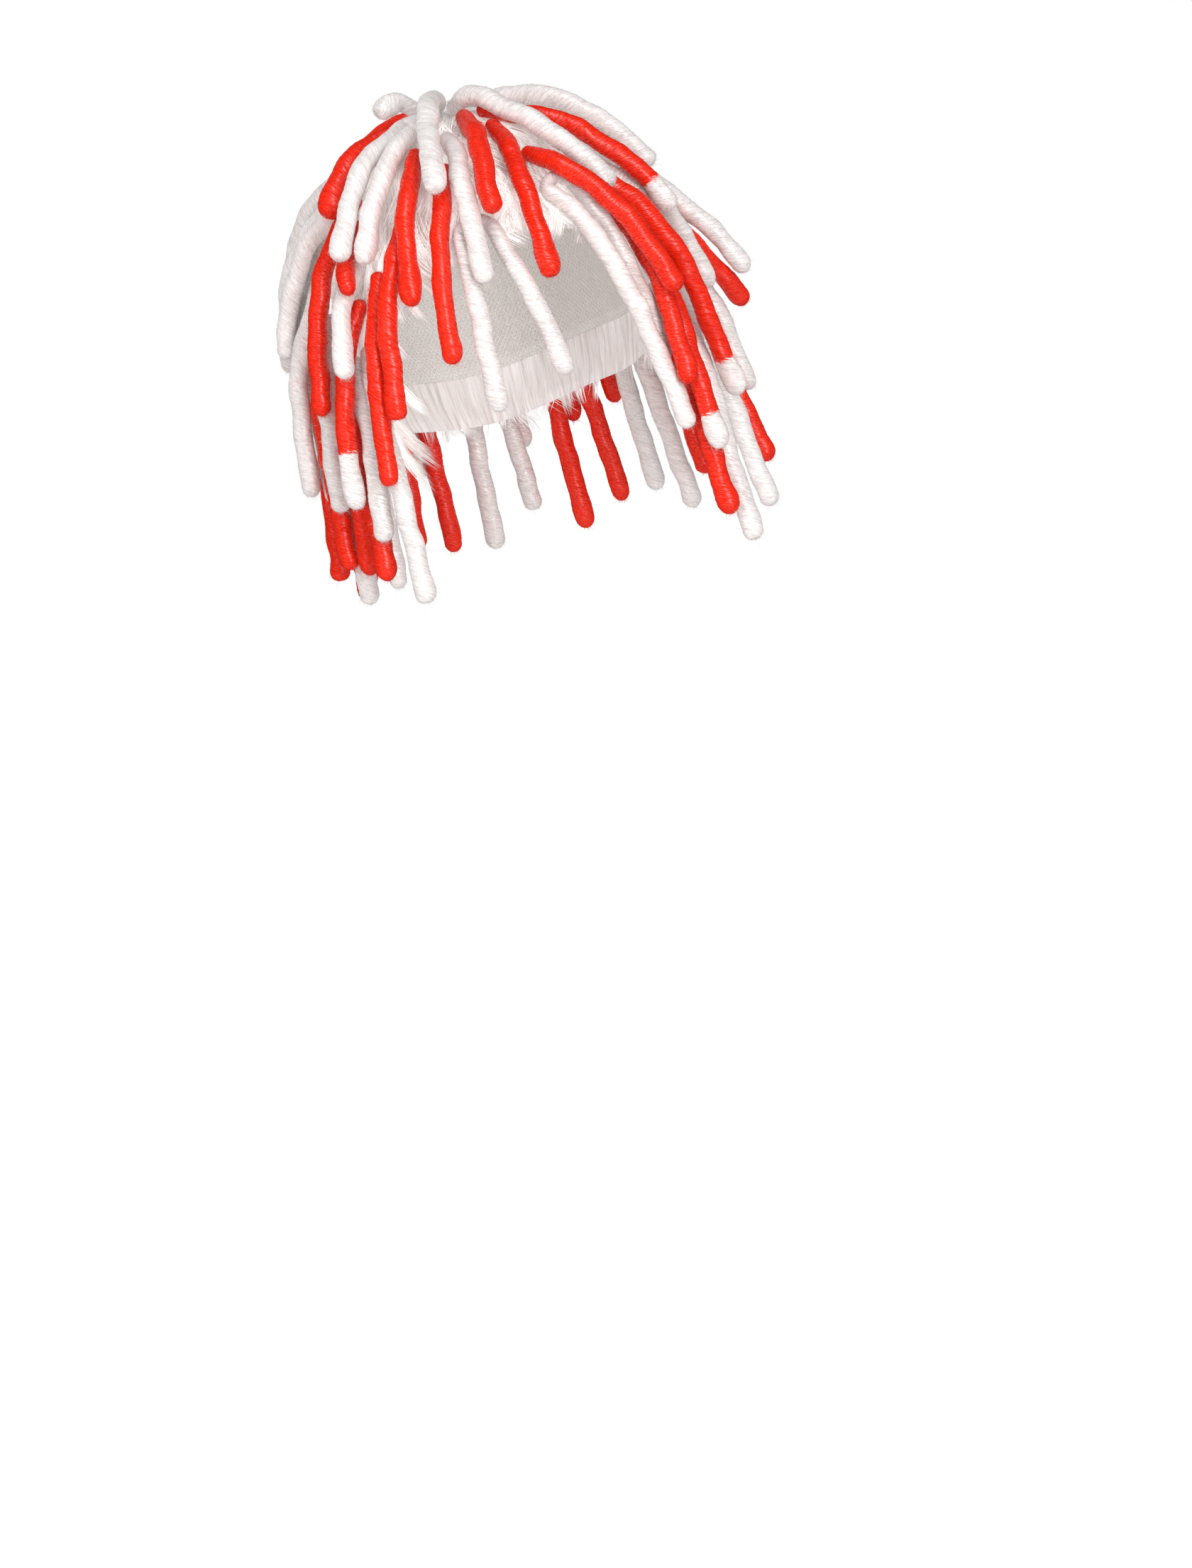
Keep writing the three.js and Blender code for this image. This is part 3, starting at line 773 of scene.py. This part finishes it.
def make_locks():
    finishes = {"red": thread_finish("red_thread", RED), "white": thread_finish("white_thread", WHITE)}
    red_then_white = thread_finish("red_thread_with_white_end", RED, WHITE)
    fibres = {"red": [], "white": []}
    for node in sorted(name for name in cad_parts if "_lock_" in name):
        lock = WoundLock(node)
        colour = node.split("_")[0]
        lock.build(red_then_white if node in WHITE_ENDS else finishes[colour], colour + "_thread")
        paths, is_white = lock.loose_fibres()
        fibres["white"].append(paths[is_white])
        fibres["red"].append(paths[~is_white])
    for colour, finish in finishes.items():
        paths = np.concatenate(fibres[colour])
        rng = np.random.default_rng(FIBRE_SEED)
        tones = np.repeat(rng.uniform(0.3, 1, (len(paths), 1)), FIBRE_POINTS, axis=1)
        facing = rng.normal(size=(len(paths), 1, 3))
        size = (FIBRE_THICKNESS, FIBRE_THICKNESS)
        strand_piece(f"loose_{colour}_fibres", paths, facing, *size, tones, finish, colour + "_thread")


# Shells over the head


def head_point(azimuth, polar, offset):
    """Points of the head form grown by an offset, at azimuths from the front and polar angles."""
    side = np.sin(azimuth)
    front = np.cos(azimuth)
    reach = 1 / np.hypot(side / (HALF_WIDTH + offset), front / (HALF_LENGTH + offset))
    across = reach * np.sin(polar)
    height = (CROWN_HEIGHT + offset) * np.cos(polar) - CROWN_HEIGHT
    return np.stack([across * side, -across * front, height], axis=-1)


class Rim:
    """The lower edge of a shell node, evened over neighbouring corners."""

    def __init__(self, node):
        points, _ = node_shape(node)
        azimuth = np.degrees(np.arctan2(points[:, 0], -points[:, 1])).round().astype(int) % 360
        off_crown = np.hypot(points[:, 0], points[:, 1]) > 10 * MM
        columns = np.unique(azimuth[off_crown])
        lowest = np.array([points[off_crown & (azimuth == column), 2].min() for column in columns])
        self.azimuths = columns * DEGREE
        self.heights = (np.roll(lowest, 1) + 2 * lowest + np.roll(lowest, -1)) / 4

    def polar(self, azimuth):
        """Polar angle of the edge, on the head form, at any azimuth."""
        height = np.interp(azimuth % TURN, self.azimuths, self.heights, period=TURN)
        return np.arccos(np.clip((height + CROWN_HEIGHT) / CROWN_HEIGHT, -1, 1))


def shell_piece(name, rim, inside, surface, columns, rows, material, slot):
    """A closed wall over the head, from the crown to a rim: outside, edge and inside in one grid."""
    azimuth = TURN * np.arange(columns) / columns
    rim_polar = rim.polar(azimuth)
    share = np.linspace(CROWN_SHARE, 1, rows)[:, None]
    polar = share * rim_polar
    outer = head_point(azimuth[None], polar, surface(azimuth[None], share))
    inner = head_point(azimuth[None], polar, inside)
    points = np.concatenate([outer, inner[::-1]])
    poles = np.stack([points[0].mean(axis=0), points[-1].mean(axis=0)])
    cells = grid_triangles(2 * rows, columns)
    triangles = np.concatenate([numbered(cells, columns), closing_fans(2 * rows, columns)])
    girth_mm = TURN * HALF_LENGTH / MM
    down_mm = np.concatenate([share, share[::-1]])[:, 0] * rim_polar.mean() * CROWN_HEIGHT / MM
    skin_map = np.stack([cells[..., 1] / columns * girth_mm, down_mm[cells[..., 0]]], axis=-1)
    fan_map = np.zeros((columns, 3, 2))
    fan_map[..., 0] = (np.arange(columns) / columns * girth_mm)[:, None]
    combing = np.concatenate([skin_map, fan_map, fan_map])
    every = np.concatenate([points.reshape(-1, 3), poles])
    return piece(name, every, triangles[:, ::-1], material, {COMBING: combing[:, ::-1]}, {})


def cap_surface(azimuth, share):
    """Offset of the cap's outside from the head form, the same everywhere."""
    return CAP_WALL


def make_cap():
    rim = Rim("cap")
    net = net_finish()
    net_cap = shell_piece("net_cap", rim, 0.0, cap_surface, CAP_COLUMNS, CAP_ROWS, net, "cap_net")
    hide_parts("cap")


# Short hair


def hair_surface(azimuth, share):
    """Offset of the hair's bed from the head form: shallow clumps that run from the crown to the edge."""
    clumped_by = 0.3  # shares of the way to the rim
    thinned_from = 0.86
    thinned_over = 0.14
    clumps = 0.5 * np.sin(31 * azimuth + 3 * share) + 0.3 * np.sin(53 * azimuth - 5 * share + 1)
    thin = smooth_step((share - thinned_from) / thinned_over)
    full = HAIR_OUTSIDE + HAIR_CLUMP * clumps * smooth_step(share / clumped_by)
    return full + (HAIR_INSIDE + HAIR_EDGE - full) * thin


def combed_paths(rng, rim, layer):
    """Paths of hair strands in clumps that narrow towards their ends, lying down the head."""
    clumps = layer.clumps
    count = clumps * layer.per_clump

    def each(of_clump):
        return np.repeat(of_clump, layer.per_clump)

    centre = rng.uniform(*layer.azimuths, clumps)
    edge = rim.polar(centre)
    low, high = layer.starts
    root = edge * np.sqrt(rng.uniform(low**2, high**2, clumps))
    heading = rng.uniform(-HEADING, HEADING, clumps)
    curl = rng.uniform(-CURL, CURL, clumps)
    clump_length = rng.uniform(*layer.lengths, clumps)
    beside = rng.normal(0, CLUMP_WIDTH, count)[:, None]
    behind = rng.normal(0, CLUMP_LENGTH, count)[:, None]
    length = (each(clump_length) * rng.uniform(*OWN_LENGTH, count))[:, None]
    share = np.linspace(0, 1, layer.points)[None]
    slope = np.tan(each(heading) + rng.normal(0, STRAY, count))[:, None]
    aside = beside * (1 - CLUMP_NARROWING * share)
    aside = aside + length * (slope * share + each(curl)[:, None] * share**2)
    polar = each(root)[:, None] + (behind + length * share) / CROWN_HEIGHT
    stop = each(edge) + each(rng.uniform(*layer.past_rim, clumps)) / CROWN_HEIGHT
    over = np.maximum(polar[:, -1] - stop, 0)
    polar = np.maximum(polar - over[:, None], LEAST_POLAR)
    azimuth = each(centre)[:, None] + aside / (MEAN_RADIUS * np.maximum(np.sin(polar), LEAST_GIRTH))
    height = each(rng.uniform(0, STRAND_LAYER, clumps)) + rng.normal(0, STRAND_LOOSENESS, count)
    lift = each(rng.gamma(*CLUMP_LIFT, clumps))
    risen = smooth_step(share / RISEN_BY)
    offset = STRAND_OFFSET + (height[:, None] + STRAND_RISE) * risen + lift[:, None] * share**2
    return head_point(azimuth, polar, offset)


def strand_tones(rng, count, points, per_clump):
    """Lightness along each strand: each clump has its own random tone, with painted shade at its roots and
    a painted highlight band at one place.
    """
    band_places = (0.4, 0.9)  # shares of a strand's length
    band_length = 0.26
    clumps = (count // per_clump, 1)
    own = rng.normal(0.36, 0.26, clumps).repeat(per_clump, axis=0)
    own = own + rng.normal(0, 0.12, (count, 1))
    band = rng.uniform(*band_places, clumps).repeat(per_clump, axis=0)
    band = band + rng.normal(0, 0.06, (count, 1))
    share = np.linspace(0, 1, points)[None]
    # Painted shade near the roots, where other hair would shade them, and a painted highlight band further
    # along.
    painted_root_shade = 0.2 * (1 - share) ** 2
    painted_highlight_band = 0.6 * np.exp(-(((share - band) / band_length) ** 2))
    return np.clip(own - painted_root_shade + painted_highlight_band, 0, 1)


def wisp_paths(rng, root, ways):
    """A flat wisp of strands along a bent route: its root, and the two ways of its start and end."""
    share = np.linspace(0, 1, WISP_POINTS)[None, :, None]
    start, end = (np.array(way) * MM for way in ways)
    route = np.array(root) * MM + start * share * (1 - share) * 2 + end * share**2
    across = unit(np.cross(end, [0, 1, 0]))
    each = (WISP_STRANDS, 1, 1)
    each_way = (WISP_STRANDS, 1, 3)
    fan = rng.uniform(-WISP_WIDTH / 2, WISP_WIDTH / 2, each)
    depth = rng.normal(0, WISP_DEPTH, each_way)
    length = rng.uniform(*WISP_LENGTHS, each)
    route = route[:, :1] + (route - route[:, :1]) * length
    loose = rng.normal(0, WISP_LOOSENESS, each_way) * share**2
    return route + across * fan * (1 - WISP_NARROWING * share**2) + depth + loose


def make_hair():
    rng = np.random.default_rng(HAIR_SEED)
    rim = Rim("short_hair")
    size = (HAIR_COLUMNS, HAIR_ROWS)
    bed = shell_piece("hair_bed", rim, HAIR_INSIDE, hair_surface, *size, hair_bed_finish(), "short_hair")
    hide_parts("short_hair")
    finish = hair_finish()
    wisps = np.concatenate([wisp_paths(rng, root, ways) for root, ways in WISPS])
    combed = {name: (combed_paths(rng, rim, layer), layer.per_clump) for name, layer in LAYERS.items()}
    combed["temple_wisps"] = (wisps, WISP_STRANDS)
    for name, (paths, per_clump) in combed.items():
        tones = strand_tones(rng, *paths.shape[:2], per_clump)
        outward = paths - HEAD_CENTRE
        strand_piece(name, paths, outward, HAIR_WIDTH, HAIR_DEPTH, tones, finish, "short_hair")


# Studio


def place_camera():
    """The picture's view: the aim point lies at its pixel, and the camera is turned, not shifted."""
    back = Vector((
        -math.sin(CAMERA_TURN) * math.cos(CAMERA_RISE),
        -math.cos(CAMERA_TURN) * math.cos(CAMERA_RISE),
        math.sin(CAMERA_RISE),
    ))
    level = Vector((math.cos(CAMERA_TURN), -math.sin(CAMERA_TURN), 0))
    above = back.cross(level)
    right = level * math.cos(CAMERA_ROLL) - above * math.sin(CAMERA_ROLL)
    up = level * math.sin(CAMERA_ROLL) + above * math.cos(CAMERA_ROLL)
    focal = PIXELS_PER_METRE * CAMERA_DISTANCE
    to_aim = Vector((AIM_PIXEL[0] - PICTURE[0] / 2, PICTURE[1] / 2 - AIM_PIXEL[1], -focal)).normalized()
    off_axis = Vector((0, 0, -1)).rotation_difference(to_aim).to_matrix()
    turned = Matrix((right, up, back)).transposed() @ off_axis.transposed()
    lens = bpy.data.cameras.new("camera")
    lens.sensor_width = SENSOR
    lens.lens = SENSOR * focal / PICTURE[1]
    camera = bpy.data.objects.new("camera", lens)
    camera.matrix_world = Matrix.Translation(AIM + back * CAMERA_DISTANCE) @ turned.to_4x4()
    bpy.context.scene.collection.objects.link(camera)
    bpy.context.scene.camera = camera


def make_lights():
    """Soft boxes that face the wig. Only those with glints show in its gloss."""
    for name, box in SOFT_BOXES.items():
        lamp = bpy.data.lights.new(name, "AREA")
        lamp.shape = "RECTANGLE"
        lamp.size = box.width
        lamp.size_y = box.height
        lamp.energy = box.power
        light = bpy.data.objects.new(name, lamp)
        light.visible_glossy = box.glints
        place = Vector(box.place)
        facing = (place - AIM).to_track_quat("Z", "Y").to_matrix().to_4x4()
        light.matrix_world = Matrix.Translation(place) @ facing
        bpy.context.scene.collection.objects.link(light)


def make_world():
    """A white surround that lights the wig less than it shows to the camera."""
    world = bpy.data.worlds.new("studio")
    bpy.context.scene.world = world
    world.use_nodes = True
    world.cycles_visibility.glossy = False
    nodes = Nodes(world.node_tree)
    lit = world.node_tree.nodes["Background"]
    nodes.fill(lit.inputs["Color"], PURE_WHITE)
    nodes.fill(lit.inputs["Strength"], AMBIENT)
    seen = nodes.node("ShaderNodeBackground", {}, {"Color": PURE_WHITE, "Strength": 1.0})
    is_seen = nodes.node("ShaderNodeLightPath", {}, {}, "Is Camera Ray")
    sockets = {0: is_seen, 1: Flow(nodes, lit.outputs[0]), 2: seen}
    choice = nodes.node("ShaderNodeMixShader", {}, sockets)
    nodes.fill(world.node_tree.nodes["World Output"].inputs["Surface"], choice)


def make_floor():
    """A pale floor far below the wig, which glows only where the camera sees it, to suit the surround."""
    half = FLOOR_SIZE / 2
    corners = [(x * half, y * half, FLOOR_HEIGHT) for x, y in ((-1, -1), (1, -1), (1, 1), (-1, 1))]
    mesh = bpy.data.meshes.new("floor")
    mesh.from_pydata(corners, [], [(0, 1, 2, 3)])
    finish = Finish("pale_floor")
    seen = finish.node("ShaderNodeLightPath", {}, {}, "Is Camera Ray")
    finish.surface({
        "Base Color": FLOOR_COLOUR,
        "Roughness": 0.9,
        "Specular IOR Level": 0.1,
        "Emission Color": finish.mixed(seen, BLACK, PURE_WHITE),
        "Emission Strength": FLOOR_GLOW,
    })
    mesh.materials.append(finish.material)
    floor = bpy.data.objects.new("floor", mesh)
    bpy.context.scene.collection.objects.link(floor)
    floor.visible_glossy = False


place_camera()
make_locks()
make_cap()
make_hair()
make_lights()
make_world()
make_floor()
bpy.context.scene.view_settings.view_transform = "Standard"
